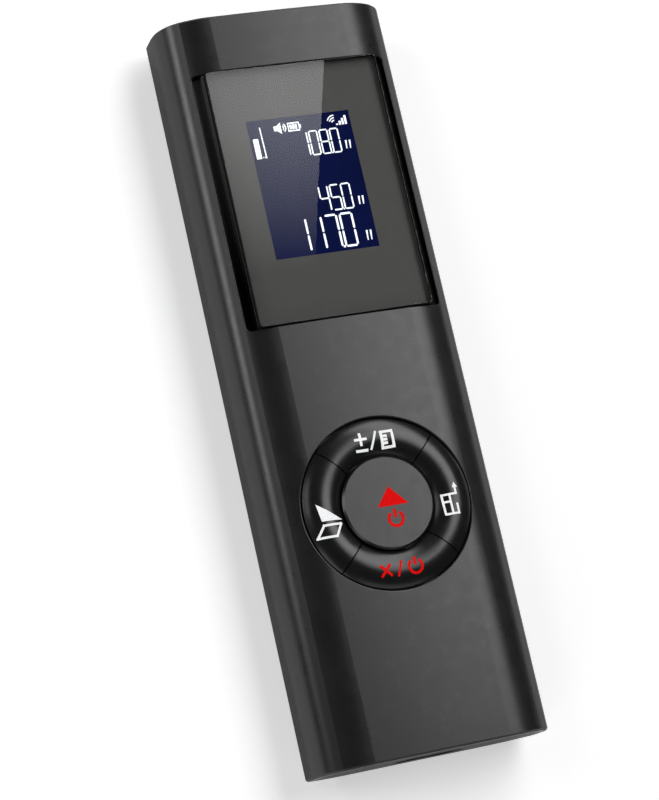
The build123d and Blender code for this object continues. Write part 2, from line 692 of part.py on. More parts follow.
# ================================================================ optics
with BuildPart() as optical_chassis:
    # body below the display, a shelf under the window bezel, then the full-height nose
    with Locations((0, CHASSIS_HIGH_END, CHASSIS_FLOOR)):
        front_bottom = (Align.CENTER, Align.MAX, Align.MIN)
        Box(CHASSIS_W, CHASSIS_L, BOARD_TOP - 0.05 - CHASSIS_FLOOR, align=front_bottom)
        Box(CHASSIS_W, SHELF_L, BEZEL_LOW - 0.1 - CHASSIS_FLOOR, align=front_bottom)
        Box(CHASSIS_W, NOSE_L, NOSE_TOP - CHASSIS_FLOOR, align=front_bottom)
    # ears that are screwed up to the board, and the webs that join them to the body
    ear_top = BOARD_LOW - TOUCH
    rear_top = (Align.CENTER, Align.MIN, Align.MAX)
    with Locations(*[(x, EAR_LOW_END, ear_top) for x in (-EAR_X, EAR_X)]):
        Box(EAR_W, CHASSIS_LOW_END + WEB_L - EAR_LOW_END, EAR_T, align=rear_top)
    with Locations(*[(x, CHASSIS_LOW_END, ear_top) for x in (-WEB_X, WEB_X)]):
        Box(2 * (EAR_X - WEB_X), WEB_L, EAR_T, align=rear_top)
    with Locations(*[(x, y, BOARD_LOW) for x, y in CHASSIS_SCREWS]):
        Cylinder(PILOT_R, 3 * EAR_T, mode=Mode.SUBTRACT)
    # laser bore, then the receiver bore widening towards its lens
    with BuildSketch(across(CHASSIS_HIGH_END)):
        with Locations((LASER_X, OPTIC_Z)):
            Circle(BARREL_R + 0.04)
    extrude(amount=CHASSIS_L, mode=Mode.SUBTRACT)
    for bore_r, bore_end in RECEIVER_BORES:
        with BuildSketch(across(CHASSIS_HIGH_END)):
            with Locations((RECEIVER_X, OPTIC_Z)):
                Circle(bore_r)
        extrude(amount=CHASSIS_HIGH_END - bore_end, mode=Mode.SUBTRACT)
optical_chassis.part.label = "optical_chassis"
export_step(optical_chassis.part, "parts/optical_chassis.step")

with BuildPart() as chassis_screws:
    with Locations(*[(x, y, BOARD_TOP + TOUCH) for x, y in CHASSIS_SCREWS]):
        add(pan_screw(CHASSIS_SCREW_L))
chassis_screws.part.label = "chassis_screws"
export_step(chassis_screws.part, "parts/chassis_screws.step")

with BuildPart() as laser_barrel:
    with BuildSketch(across(BARREL_END)):
        with Locations((LASER_X, OPTIC_Z)):
            Circle(BARREL_R)
            Circle(BARREL_R - BARREL_T, mode=Mode.SUBTRACT)
    extrude(amount=BARREL_L)
laser_barrel.part.label = "laser_barrel"
export_step(laser_barrel.part, "parts/laser_barrel.step")

with BuildPart() as laser_diode:
    # base plate against the end of the barrel, can inside it, three leads behind
    with BuildSketch(across(DIODE_END - FIT)):
        with Locations((LASER_X, OPTIC_Z)):
            Circle(BARREL_R - FIT)
    extrude(amount=1.0)
    with BuildSketch(across(DIODE_END + 2.0)):
        with Locations((LASER_X, OPTIC_Z)):
            Circle(BARREL_R - BARREL_T - FIT)
    extrude(amount=2.5)
    with BuildSketch(across(DIODE_END - 1.0)):
        with Locations((LASER_X, OPTIC_Z)):
            with PolarLocations(0.75, 3):
                Circle(0.22)
    extrude(amount=3.5)
laser_diode.part.label = "laser_diode"
export_step(laser_diode.part, "parts/laser_diode.step")

with BuildPart() as collimator_lens:
    with BuildSketch(across(BARREL_END - 0.8)):
        with Locations((LASER_X, OPTIC_Z)):
            Circle(BARREL_R - BARREL_T - 2 * TOUCH)
    extrude(amount=1.5)
    fillet(collimator_lens.edges().group_by(Axis.Y)[-1], 0.6)
collimator_lens.part.label = "collimator_lens"
export_step(collimator_lens.part, "parts/collimator_lens.step")

with BuildPart() as receiver_lens:
    # flat towards the detector, domed towards the target
    sphere_r = (LENS_R**2 + LENS_BULGE**2) / (2 * LENS_BULGE)
    with BuildSketch(across(LENS_END + LENS_BULGE)):
        with Locations((RECEIVER_X, OPTIC_Z)):
            Circle(LENS_R)
    extrude(amount=LENS_BULGE + 0.7)
    with Locations((RECEIVER_X, LENS_END + LENS_BULGE - sphere_r, OPTIC_Z)):
        Sphere(sphere_r, mode=Mode.INTERSECT)
receiver_lens.part.label = "receiver_lens"
export_step(receiver_lens.part, "parts/receiver_lens.step")

with BuildPart() as lens_ring:
    with BuildSketch(across(CHASSIS_HIGH_END - FIT)):
        with Locations((RECEIVER_X, OPTIC_Z)):
            Circle(LENS_R)
            Circle(LENS_R - 0.5, mode=Mode.SUBTRACT)
    extrude(amount=1.2)
lens_ring.part.label = "lens_ring"
export_step(lens_ring.part, "parts/lens_ring.step")

with BuildPart() as optical_filter:
    with BuildSketch(across(FILTER_END)):
        with Locations((RECEIVER_X, OPTIC_Z)):
            Circle(FILTER_R)
    extrude(amount=0.5)
optical_filter.part.label = "optical_filter"
export_step(optical_filter.part, "parts/optical_filter.step")

with BuildPart() as detector_board:
    with BuildSketch(across(CHASSIS_LOW_END - FIT)):
        with Locations((RECEIVER_X, OPTIC_Z - 1)):
            Rectangle(*DETECTOR_BOARD)
    extrude(amount=0.8)
detector_board.part.label = "detector_board"
export_step(detector_board.part, "parts/detector_board.step")

with BuildPart() as photodiode:
    with BuildSketch(across(CHASSIS_LOW_END + PHOTODIODE[2] - FIT + TOUCH)):
        with Locations((RECEIVER_X, OPTIC_Z)):
            Rectangle(PHOTODIODE[0], PHOTODIODE[1])
    extrude(amount=PHOTODIODE[2])
photodiode.part.label = "photodiode"
export_step(photodiode.part, "parts/photodiode.step")
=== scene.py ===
import json
from math import ceil, cos, floor, pi, radians, sin

import bmesh
import bpy
from mathutils import Matrix, Vector
from mathutils.bvhtree import BVHTree

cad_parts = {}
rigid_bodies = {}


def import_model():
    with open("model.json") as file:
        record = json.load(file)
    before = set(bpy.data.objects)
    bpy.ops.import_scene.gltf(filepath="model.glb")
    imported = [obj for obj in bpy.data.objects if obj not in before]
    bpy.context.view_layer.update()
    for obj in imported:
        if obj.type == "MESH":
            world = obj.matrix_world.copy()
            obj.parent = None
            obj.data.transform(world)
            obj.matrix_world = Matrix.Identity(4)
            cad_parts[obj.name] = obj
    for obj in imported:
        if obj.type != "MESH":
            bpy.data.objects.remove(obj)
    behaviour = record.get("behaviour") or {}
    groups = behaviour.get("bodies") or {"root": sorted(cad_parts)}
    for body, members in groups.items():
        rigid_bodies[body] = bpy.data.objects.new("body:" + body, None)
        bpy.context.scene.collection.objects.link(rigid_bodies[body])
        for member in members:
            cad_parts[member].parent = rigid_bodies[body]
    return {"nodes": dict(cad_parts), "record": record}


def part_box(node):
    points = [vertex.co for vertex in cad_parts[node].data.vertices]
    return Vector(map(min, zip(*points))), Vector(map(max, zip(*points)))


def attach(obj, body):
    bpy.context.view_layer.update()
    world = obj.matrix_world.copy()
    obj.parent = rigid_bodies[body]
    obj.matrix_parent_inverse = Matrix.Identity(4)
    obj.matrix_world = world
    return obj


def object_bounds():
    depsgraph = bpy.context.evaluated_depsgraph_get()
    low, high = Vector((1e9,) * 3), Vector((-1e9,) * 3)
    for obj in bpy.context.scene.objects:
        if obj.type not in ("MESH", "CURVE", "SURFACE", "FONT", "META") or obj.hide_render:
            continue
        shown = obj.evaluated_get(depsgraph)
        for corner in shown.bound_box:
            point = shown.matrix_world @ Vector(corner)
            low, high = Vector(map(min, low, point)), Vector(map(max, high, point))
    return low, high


# Looks of a pocket laser distance meter that lies on its back: +Z out through the display,
# +Y towards the laser end.  All lengths are in metres; MM turns millimetres into them.
MM = 0.001
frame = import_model()
nodes = frame["nodes"]
cad_low, cad_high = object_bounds()
scene_objects = bpy.context.scene.collection.objects

WHITE_INK = (0.80, 0.81, 0.82, 1)
RED_INK = (0.62, 0.002, 0.002, 1)
BLACK = (0.02, 0.02, 0.02, 1)
WHITE = (1, 1, 1, 1)


# ------------------------------------------------------------------ node helpers
def add_node(tree, kind, inputs=None, **settings):
    """Adds a shader node; inputs maps socket names or numbers to values or to other nodes' outputs."""
    node = tree.nodes.new(kind)
    for name, value in settings.items():
        setattr(node, name, value)
    for name, value in (inputs or {}).items():
        if isinstance(value, bpy.types.NodeSocket):
            tree.links.new(value, node.inputs[name])
        else:
            node.inputs[name].default_value = value
    return node


def math_node(tree, operation, *values):
    return add_node(tree, "ShaderNodeMath", dict(enumerate(values)), operation=operation).outputs[0]


def place(tree, stretch=(1, 1, 1)):
    """Object coordinates, stretched so that a pattern can run along one axis."""
    coordinates = add_node(tree, "ShaderNodeTexCoord").outputs["Object"]
    mapping = add_node(tree, "ShaderNodeMapping", {"Vector": coordinates, "Scale": stretch})
    return mapping.outputs["Vector"]


def place_axes(tree):
    """Object coordinates as outputs X, Y and Z."""
    return add_node(tree, "ShaderNodeSeparateXYZ", {0: place(tree)}).outputs


def noise(tree, size, detail=2.0, stretch=(1, 1, 1)):
    """Noise from 0 to 1 with features of about the given size in metres."""
    inputs = {"Vector": place(tree, stretch), "Scale": 1 / size, "Detail": detail}
    return add_node(tree, "ShaderNodeTexNoise", inputs).outputs["Fac"]


def spread(tree, value, low, high, start=0.3, end=0.7):
    """Maps a 0 to 1 pattern onto the range low to high."""
    inputs = {"Value": value, "From Min": start, "From Max": end, "To Min": low, "To Max": high}
    return add_node(tree, "ShaderNodeMapRange", inputs).outputs["Result"]


def mixed(tree, factor, first, second):
    """Colour between two colours; the colour sockets of a Mix node are inputs 6 and 7 and output 2."""
    inputs = {0: factor, 6: first, 7: second}
    return add_node(tree, "ShaderNodeMix", inputs, data_type="RGBA").outputs[2]


def shade(colour, factor):
    return tuple(min(1, c * factor) for c in colour[:3]) + (1,)


def mottled(tree, pattern, colour, low, high):
    """The colour, darkened to low and lightened to high along a pattern."""
    return mixed(tree, spread(tree, pattern, 0, 1), shade(colour, low), shade(colour, high))


def bumped(tree, height, depth):
    """Normal of a surface whose relief is height times depth metres."""
    inputs = {"Height": height, "Distance": depth, "Strength": 1.0}
    return add_node(tree, "ShaderNodeBump", inputs).outputs["Normal"]


def new_material(name):
    """A material with its Principled shader, ready for links."""
    material = bpy.data.materials.new(name)
    material.use_nodes = True
    tree = material.node_tree
    return material, tree, tree.nodes["Principled BSDF"]


def bare_material(name):
    """A material without a shader, for set_surface."""
    material, tree, shader = new_material(name)
    tree.nodes.remove(shader)
    return material, tree


def set_surface(tree, shader):
    tree.links.new(shader.outputs[0], tree.nodes["Material Output"].inputs["Surface"])


def mix_shaders(tree, factor, first, second):
    inputs = {0: factor, 1: first.outputs[0], 2: second.outputs[0]}
    return add_node(tree, "ShaderNodeMixShader", inputs)


def finish(tree, shader, **inputs):
    """Sets or links the named inputs of a shader."""
    for name, value in inputs.items():
        socket = shader.inputs[name.replace("_", " ")]
        if isinstance(value, bpy.types.NodeSocket):
            tree.links.new(value, socket)
        else:
            socket.default_value = value


def outer_reflection(tree, ior):
    """Fresnel share of a reflection that only the outer side of a sheet gives."""
    backfacing = add_node(tree, "ShaderNodeNewGeometry").outputs["Backfacing"]
    outside = math_node(tree, "SUBTRACT", 1.0, backfacing)
    fresnel = add_node(tree, "ShaderNodeFresnel", {"IOR": ior}).outputs[0]
    return math_node(tree, "MULTIPLY", fresnel, outside)


# ------------------------------------------------------------------ materials
CLEAR_IOR = 1.5  # of moulded plastic and of the window
COATED_IOR = 1.7  # of coated optics
PRINT_IOR = 1.35
EDGE_WIDTH = 0.25 * MM  # of the handling wear along edges
EDGE_MATCH = (0.80, 0.995)  # how far the rounded and the true normal agree: on an edge, off it
WORN_SHADE = 2.1  # of the plastic's own colour
WORN_POLISH = 0.10  # roughness that wear takes away
GRAZING_SPECULAR = 0.03  # fine texture holds back the glare of plastic seen at a slant


def moulded(name, colour, roughness, grain=0.16 * MM, relief=0.0016 * MM, wear=0.5, gloss=0.5):
    """Satin moulded plastic: fine eroded grain, faint mottling and edges polished by handling."""
    material, tree, shader = new_material(name)
    fine = noise(tree, grain, detail=3)
    cloud = noise(tree, 6 * MM, detail=4)
    edge_normal = add_node(tree, "ShaderNodeBevel", {"Radius": EDGE_WIDTH}, samples=4).outputs[0]
    face_normal = add_node(tree, "ShaderNodeNewGeometry").outputs["Normal"]
    normals = {0: edge_normal, 1: face_normal}
    match = add_node(tree, "ShaderNodeVectorMath", normals, operation="DOT_PRODUCT").outputs["Value"]
    edge = spread(tree, match, wear, 0, *EDGE_MATCH)
    rubbed = math_node(tree, "MULTIPLY", edge, spread(tree, noise(tree, 1.1 * MM, 3), 0.2, 1))
    body = mottled(tree, cloud, colour, 0.92, 1.08)
    worn = mixed(tree, rubbed, body, shade(colour, WORN_SHADE))
    rough = spread(tree, noise(tree, 1.7 * MM, 4), roughness - 0.025, roughness + 0.025)
    rough = math_node(tree, "SUBTRACT", rough, math_node(tree, "MULTIPLY", rubbed, WORN_POLISH))
    facing = add_node(tree, "ShaderNodeLayerWeight", {"Blend": 0.5}).outputs["Facing"]
    specular = spread(tree, facing, gloss, GRAZING_SPECULAR)
    relief_normal = bumped(tree, fine, relief)
    finish(tree, shader, Base_Color=worn, Roughness=rough, IOR=CLEAR_IOR, Normal=relief_normal)
    finish(tree, shader, Specular_IOR_Level=specular)
    return material


def printed_sheet(name, colour):
    """Plain printed sheet, such as the mask behind the window, with the faint speckle of screen ink."""
    material, tree, shader = new_material(name)
    tone = mottled(tree, noise(tree, 0.12 * MM, detail=2), colour, 0.98, 1.02)
    rough = spread(tree, noise(tree, 0.8 * MM, 3), 0.62, 0.74)
    finish(tree, shader, Base_Color=tone, Roughness=rough, IOR=PRINT_IOR)
    return material


# Painted shade and painted light of the channels beside the window: a deep black, and on the left a grey
# that fades in
CHANNEL_SHADE_BLACK = (0.004, 0.004, 0.004, 1)
CHANNEL_LIGHT_GREY = (0.090, 0.090, 0.090, 1)
CHANNEL_LIGHT_FADE = (14 * MM, 38 * MM)  # from the painted shade black to the painted light grey, along Y


def paint_channel_shade_and_light(name):
    """Matt black of the channels beside the window, deep enough to paint in their shade; the left one
    fades to a painted light grey towards the laser end.
    """
    material, tree, shader = new_material(name)
    axes = place_axes(tree)
    # Painted light: the left channel turns grey towards the laser end
    left = math_node(tree, "LESS_THAN", axes["X"], 0)
    painted_light = math_node(tree, "MULTIPLY", left, spread(tree, axes["Y"], 0, 1, *CHANNEL_LIGHT_FADE))
    tone = mixed(tree, painted_light, CHANNEL_SHADE_BLACK, CHANNEL_LIGHT_GREY)
    rough = spread(tree, noise(tree, 1.7 * MM, 4), 0.55, 0.65)
    finish(tree, shader, Base_Color=tone, Roughness=rough, Specular_IOR_Level=0.06)
    finish(tree, shader, IOR=CLEAR_IOR)
    return material


EDGE_FACE = (0.93, 0.985)  # upright part of the normal: of an edge face, of a flat face


def clear_sheet(name, tint):
    """Thin clear sheet: plain transparency under the sharp and faintly smeared reflection of its outer
    side, with its edge faces painted black."""
    material, tree = bare_material(name)
    smear = spread(tree, noise(tree, 7 * MM, detail=5, stretch=(1, 0.35, 1)), 0.93, 1.0)
    ripple = bumped(tree, noise(tree, 4 * MM, detail=1), 0.0008 * MM)
    mirror = {"Roughness": 0.0, "Normal": ripple, "Color": smear}
    glossy = add_node(tree, "ShaderNodeBsdfGlossy", mirror)
    through = add_node(tree, "ShaderNodeBsdfTransparent", {"Color": tint})
    clear = mix_shaders(tree, outer_reflection(tree, CLEAR_IOR), through, glossy)
    normal = add_node(tree, "ShaderNodeNewGeometry").outputs["Normal"]
    upward = add_node(tree, "ShaderNodeSeparateXYZ", {0: normal}).outputs["Z"]
    flat = spread(tree, math_node(tree, "ABSOLUTE", upward), 0, 1, *EDGE_FACE)
    painted = add_node(tree, "ShaderNodeBsdfPrincipled")
    finish(tree, painted, Base_Color=(0.005, 0.005, 0.005, 1), Roughness=0.45, Specular_IOR_Level=0.2)
    set_surface(tree, mix_shaders(tree, flat, painted, clear))
    return material


ELECTRODE_PITCH = 0.18 * MM
ELECTRODE_GAP = 0.14  # of the pitch
CELL_GLOW = (0.0030, 0.0055, 0.0440, 1)
GAP_GLOW = (0.0028, 0.0053, 0.0420, 1)


def display_cell(name):
    """Reversed liquid crystal: navy glow from the light guide, over a barely visible electrode grid."""
    material, tree, shader = new_material(name)
    axes = place_axes(tree)
    lines = []
    for axis in ("X", "Y"):
        step = math_node(tree, "FRACT", math_node(tree, "DIVIDE", axes[axis], ELECTRODE_PITCH))
        lines.append(math_node(tree, "LESS_THAN", step, ELECTRODE_GAP))
    glow = mixed(tree, math_node(tree, "MAXIMUM", *lines), CELL_GLOW, GAP_GLOW)
    uneven = spread(tree, noise(tree, 9 * MM, 2), 0.88, 1.12)
    finish(tree, shader, Base_Color=(0.002, 0.003, 0.008, 1), Roughness=0.45, Specular_IOR_Level=0.0)
    finish(tree, shader, Emission_Color=glow, Emission_Strength=uneven)
    return material


def lit_segment(name):
    """Segments lit from behind, a little brighter where the light guide is."""
    material, tree, shader = new_material(name)
    level = spread(tree, noise(tree, 5 * MM, 2), 0.92, 1.08)
    finish(tree, shader, Base_Color=(0.6, 0.6, 0.6, 1), Roughness=0.6)
    finish(tree, shader, Emission_Color=(0.86, 0.92, 1.0, 1), Emission_Strength=level)
    return material


INK_PAINTED_LIGHT = 0.5  # painted light: a glow that keeps the inks bright under the soft light


def ink(name, colour):
    """Bright matt pad-printed ink: slightly uneven cover, a faint orange-peel and a painted glow of light.
    """
    material, tree, shader = new_material(name)
    cover = mixed(tree, spread(tree, noise(tree, 0.35 * MM, 3), 0, 1), shade(colour, 0.88), colour)
    peel = bumped(tree, noise(tree, 0.12 * MM, 2), 0.002 * MM)
    finish(tree, shader, Base_Color=cover, Roughness=0.7, Specular_IOR_Level=0.08, Normal=peel)
    # Painted light: the ink glows though it is no lamp
    finish(tree, shader, Emission_Color=cover, Emission_Strength=INK_PAINTED_LIGHT)
    return material


def metal(name, colour, roughness=0.3, brush=(1, 1, 1), relief=0.001 * MM, scale=0.25 * MM, coat=0.0):
    """Metal with tool marks that run across the squeezed axis of brush, and cloudy tarnish."""
    material, tree, shader = new_material(name)
    marks = noise(tree, scale, detail=4, stretch=brush)
    tone = mottled(tree, noise(tree, 3 * MM, detail=4), colour, 0.85, 1)
    rough = spread(tree, marks, roughness * 0.75, roughness * 1.25)
    finish(tree, shader, Base_Color=tone, Metallic=1.0, Roughness=rough, Coat_Weight=coat)
    finish(tree, shader, Normal=bumped(tree, marks, relief))
    return material


def tinted_optic(name, colour, coating):
    """Small coated glass: the coating colours its reflection."""
    material, tree = bare_material(name)
    film = mixed(tree, noise(tree, 3 * MM, 1), coating, WHITE)
    rough = spread(tree, noise(tree, 0.6 * MM, 3), 0.01, 0.035)
    glossy = add_node(tree, "ShaderNodeBsdfGlossy", {"Color": film, "Roughness": rough})
    through = add_node(tree, "ShaderNodeBsdfTransparent", {"Color": colour})
    set_surface(tree, mix_shaders(tree, outer_reflection(tree, COATED_IOR), through, glossy))
    return material


def circuit_board(name):
    """Green solder mask over fine copper tracks, with vias."""
    material, tree, shader = new_material(name)
    where = place(tree)
    layout = {"Scale": 1 / (4 * MM), "Mortar Size": 0.045, "Brick Width": 0.9, "Row Height": 0.22}
    tracks = add_node(tree, "ShaderNodeTexBrick", {"Vector": where, **layout}).outputs["Fac"]
    spots = {"Vector": where, "Scale": 1 / (2.4 * MM)}
    distance = add_node(tree, "ShaderNodeTexVoronoi", spots).outputs["Distance"]
    via = math_node(tree, "LESS_THAN", distance, 0.11)
    mask = mixed(tree, tracks, (0.008, 0.085, 0.035, 1), (0.018, 0.15, 0.06, 1))
    tone = mixed(tree, via, mask, (0.62, 0.50, 0.24, 1))
    relief = bumped(tree, tracks, 0.02 * MM)
    finish(tree, shader, Base_Color=tone, Roughness=0.32, Normal=relief, Coat_Weight=0.4)
    return material


def striped(name, colours, period, roughness=0.5, share=0.5):
    """Alternating stripes of two colours across X, such as a contact strip or a pair of leads."""
    material, tree, shader = new_material(name)
    step = math_node(tree, "FRACT", math_node(tree, "DIVIDE", place_axes(tree)["X"], period))
    tone = mixed(tree, math_node(tree, "LESS_THAN", step, share), *colours)
    peel = bumped(tree, noise(tree, 0.2 * MM, 3), 0.004 * MM)
    finish(tree, shader, Base_Color=tone, Roughness=roughness, Normal=peel)
    return material


def foam(name, colour):
    """Closed-cell foam."""
    material, tree, shader = new_material(name)
    inputs = {"Vector": place(tree), "Scale": 1 / (0.35 * MM)}
    bubbles = add_node(tree, "ShaderNodeTexVoronoi", inputs).outputs["Distance"]
    tone = mixed(tree, bubbles, shade(colour, 1.3), shade(colour, 0.6))
    finish(tree, shader, Base_Color=tone, Roughness=0.9, Normal=bumped(tree, bubbles, 0.05 * MM))
    return material


def translucent_film(name, colour):
    """Glossy amber film with fine scratches."""
    material, tree, shader = new_material(name)
    scratches = noise(tree, 0.3 * MM, 5, stretch=(1, 0.1, 1))
    tone = mottled(tree, scratches, colour, 0.85, 1.1)
    finish(tree, shader, Base_Color=tone, Roughness=spread(tree, scratches, 0.18, 0.3))
    finish(tree, shader, Normal=bumped(tree, scratches, 0.001 * MM))
    return material


def pouch_foil(name):
    """Aluminium-laminate battery pouch, softly wrinkled."""
    material, tree, shader = new_material(name)
    wrinkles = noise(tree, 3.5 * MM, 5)
    shine = spread(tree, wrinkles, 0, 1)
    tone = mixed(tree, shine, (0.55, 0.56, 0.58, 1), (0.72, 0.73, 0.75, 1))
    rough = spread(tree, noise(tree, 1 * MM), 0.28, 0.4)
    finish(tree, shader, Base_Color=tone, Metallic=0.9, Roughness=rough)
    finish(tree, shader, Normal=bumped(tree, wrinkles, 0.12 * MM))
    return material


SLOT_MATERIALS = {
    "housing_black": moulded("housing_black", (0.0125, 0.0126, 0.0132), 0.29),
    "cap_black": moulded("cap_black", (0.024, 0.0242, 0.0252), 0.46, grain=0.22 * MM, relief=0.003 * MM),
    "key_black": moulded("key_black", (0.0085, 0.0086, 0.0092), 0.25, grain=0.14 * MM, relief=0.0011 * MM),
    "mask_black": printed_sheet("mask_black", (0.097, 0.097, 0.096)),
    "window_clear": clear_sheet("window_clear", (0.985, 0.985, 0.98, 1)),
    "lcd_dark": display_cell("lcd_dark"),
    "backlight_white": printed_sheet("backlight_white", (0.80, 0.83, 0.86)),
    "frame_plastic": moulded("frame_plastic", (0.55, 0.56, 0.54), 0.5, wear=0.1),
    "contact_rubber": striped("contact_rubber", (BLACK, (0.45, 0.30, 0.32, 1)), 0.36 * MM),
    "sheet_film": translucent_film("sheet_film", (0.55, 0.30, 0.05)),
    "dome_steel": metal("dome_steel", (0.70, 0.69, 0.66), 0.28, relief=0.0006 * MM),
    "board_green": circuit_board("board_green"),
    "chip_black": moulded(
        "chip_black", (0.018, 0.018, 0.020), 0.55, grain=0.1 * MM, relief=0.004 * MM, wear=0.1
    ),
    "component_tan": striped(
        "component_tan", ((0.62, 0.62, 0.60, 1), (0.36, 0.24, 0.13, 1)), 1.1 * MM, share=0.4
    ),
    "tin_plate": metal("tin_plate", (0.62, 0.63, 0.64), 0.34, brush=(1, 0.08, 1)),
    "buzzer_black": moulded("buzzer_black", BLACK, 0.5, wear=0.1),
    "socket_steel": metal("socket_steel", (0.58, 0.58, 0.57), 0.26, brush=(1, 0.1, 1)),
    "cell_foil": pouch_foil("cell_foil"),
    "pad_foam": foam("pad_foam", (0.045, 0.045, 0.05)),
    "plug_white": moulded("plug_white", (0.72, 0.70, 0.62), 0.45, wear=0.1),
    # One stripe a side: the lead at -X is red, the one at +X is black
    "lead_red": striped("lead_red", ((0.45, 0.012, 0.008, 1), BLACK), 200 * MM, roughness=0.42),
    "chassis_cast": metal("chassis_cast", (0.40, 0.41, 0.42), 0.5, relief=0.01 * MM, scale=0.3 * MM),
    "barrel_brass": metal("barrel_brass", (0.72, 0.50, 0.20), 0.25, brush=(0.05, 1, 0.05)),
    "diode_gold": metal("diode_gold", (0.90, 0.64, 0.25), 0.2, brush=(0.1, 1, 0.1)),
    "ring_black": metal("ring_black", (0.030, 0.030, 0.032), 0.38, brush=(0.05, 1, 0.05), coat=0.3),
    "clear_optic": tinted_optic("clear_optic", (0.90, 0.94, 0.95, 1), (0.45, 0.75, 0.65, 1)),
    "receiver_optic": tinted_optic("receiver_optic", (0.62, 0.07, 0.06, 1), (0.80, 0.35, 0.45, 1)),
    "filter_red": tinted_optic("filter_red", (0.50, 0.03, 0.03, 1), (0.90, 0.30, 0.25, 1)),
    "diode_dark": moulded("diode_dark", (0.02, 0.012, 0.018), 0.2, wear=0.1),
    "screw_steel": metal("screw_steel", (0.16, 0.16, 0.165), 0.34, relief=0.002 * MM),
    "display_light": lit_segment("display_light"),
    "white_ink": ink("white_ink", WHITE_INK),
    "red_ink": ink("red_ink", RED_INK),
}

# The bezel's channels beside the window are a deeper black than the print behind the window, as painted
# shade, with painted light grey on the left towards the laser end
NODE_MATERIALS = {"window_bezel": paint_channel_shade_and_light("channel_shade_and_light")}

for subpart in frame["record"]["subparts"]:
    node_slots = nodes[subpart["node"]].data.materials
    chosen = NODE_MATERIALS.get(subpart["node"], SLOT_MATERIALS[subpart["material_slot"]])
    for index in range(len(node_slots)):
        node_slots[index] = chosen


# ------------------------------------------------------------------ printed and lit marks
# Part of the display cell that shows through the window mask
VIEW_W = 14.35 * MM
VIEW_LOW = 15.95 * MM
VIEW_HIGH = 35.1 * MM

MARK_HEIGHT = 0.03 * MM
FACET = 0.3 * MM  # size of the facets that let printed marks follow a curved key
RAY_START = cad_high.z + 1 * MM
DOWN = Vector((0, 0, -1))


def bar(start, end, width, point=0.5):
    """Straight stroke; point is how far its ends are tapered, in widths."""
    start, end = Vector(start), Vector(end)
    along = (end - start).normalized()
    side = Vector((-along.y, along.x)) * width / 2
    tip = along * width * point
    ends = [start, start + tip - side, end - tip - side, end, end - tip + side, start + tip + side]
    if point == 0:
        del ends[3], ends[0]
    return [tuple(p) for p in ends]


def outline_bars(points, width):
    """Strokes along the sides of a closed outline, overlapping by half a width at its corners."""
    strokes = []
    for point, following in zip(points, points[1:] + points[:1]):
        first, second = Vector(point), Vector(following)
        reach = (second - first).normalized() * width / 2
        strokes.append(bar(first - reach, second + reach, width, 0))
    return strokes


def rectangle(left, right, low, high):
    return [(left, low), (right, low), (right, high), (left, high)]


def on_circle(centre, radius, angle):
    return centre[0] + radius * cos(angle), centre[1] + radius * sin(angle)


def arc_band(centre, radius, width, start, end, steps=20):
    """Ring segment between two angles in degrees, as short quadrilaterals."""
    quads = []
    inner, outer = radius - width / 2, radius + width / 2
    for i in range(steps):
        first, second = (radians(start + (end - start) * (i + j) / steps) for j in (0, 1))
        quads.append([
            on_circle(centre, inner, first), on_circle(centre, outer, first),
            on_circle(centre, outer, second), on_circle(centre, inner, second),
        ])
    return quads


POWER_ARC = (125, 415)  # degrees: a ring broken at its top


def power_symbol(centre, radius, width):
    """Broken ring with a stroke in its gap."""
    x, y = centre
    stroke = bar((x, y + radius * 0.15), (x, y + radius * 1.35), width, 0)
    return arc_band(centre, radius, width, *POWER_ARC) + [stroke]


# Seven-segment digits in a cell one wide and two tall
SEGMENT_ENDS = {
    "a": ((0, 2), (1, 2)), "b": ((1, 2), (1, 1)), "c": ((1, 1), (1, 0)), "d": ((0, 0), (1, 0)),
    "e": ((0, 1), (0, 0)), "f": ((0, 2), (0, 1)), "g": ((0, 1), (1, 1)),
}
DIGIT_SEGMENTS = {
    "0": "abcdef", "1": "bc", "2": "abged", "3": "abgcd", "4": "fgbc",
    "5": "afgcd", "6": "afgedc", "7": "abc", "8": "abcdefg", "9": "abcdfg",
}
LAST_GAP = 0.2  # part of a pitch that the last digit doesn't use
DIGIT_WIDTH = 0.76  # of a pitch
STROKE_WIDTH = 0.165  # of a digit's width
SEGMENT_INSET = 0.2  # of a stroke, at each end of a segment


def seven_segment(text, left, right, low, high):
    """Segments of a number that fills a box, with its decimal point between two digits."""
    digits = [c for c in text if c != "."]
    pitch = (right - left) / (len(digits) - LAST_GAP)
    wide, tall = pitch * DIGIT_WIDTH, (high - low) / 2
    stroke = wide * STROKE_WIDTH
    marks = []
    for i, digit in enumerate(digits):
        x = left + i * pitch
        for segment in DIGIT_SEGMENTS[digit]:
            first, second = (Vector((x + u * wide, low + v * tall)) for u, v in SEGMENT_ENDS[segment])
            inset = (second - first).normalized() * stroke * SEGMENT_INSET
            marks.append(bar(first + inset, second - inset, stroke))
    dot_x = left + text.index(".") * pitch - (pitch - wide) / 2
    marks.append(bar((dot_x - stroke / 2, low), (dot_x + stroke / 2, low), stroke, 0))
    return marks


def cut_into_facets(mesh):
    """Cuts a flat mesh along a grid, so that it can follow a curved surface."""
    for axis in (0, 1):
        values = [v.co[axis] for v in mesh.verts]
        for step in range(floor(min(values) / FACET) + 1, ceil(max(values) / FACET)):
            at, direction = Vector((0, 0, 0)), Vector((0, 0, 0))
            at[axis], direction[axis] = step * FACET, 1
            geometry = mesh.verts[:] + mesh.edges[:] + mesh.faces[:]
            bmesh.ops.bisect_plane(mesh, geom=geometry, plane_co=at, plane_no=direction, dist=1e-8)


def add_piece(name, mesh, material, body):
    """Turns a bmesh into a piece that rides on a body."""
    data = bpy.data.meshes.new(name)
    mesh.to_mesh(data)
    mesh.free()
    data.materials.append(SLOT_MATERIALS[material])
    piece = bpy.data.objects.new(name, data)
    scene_objects.link(piece)
    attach(piece, body)


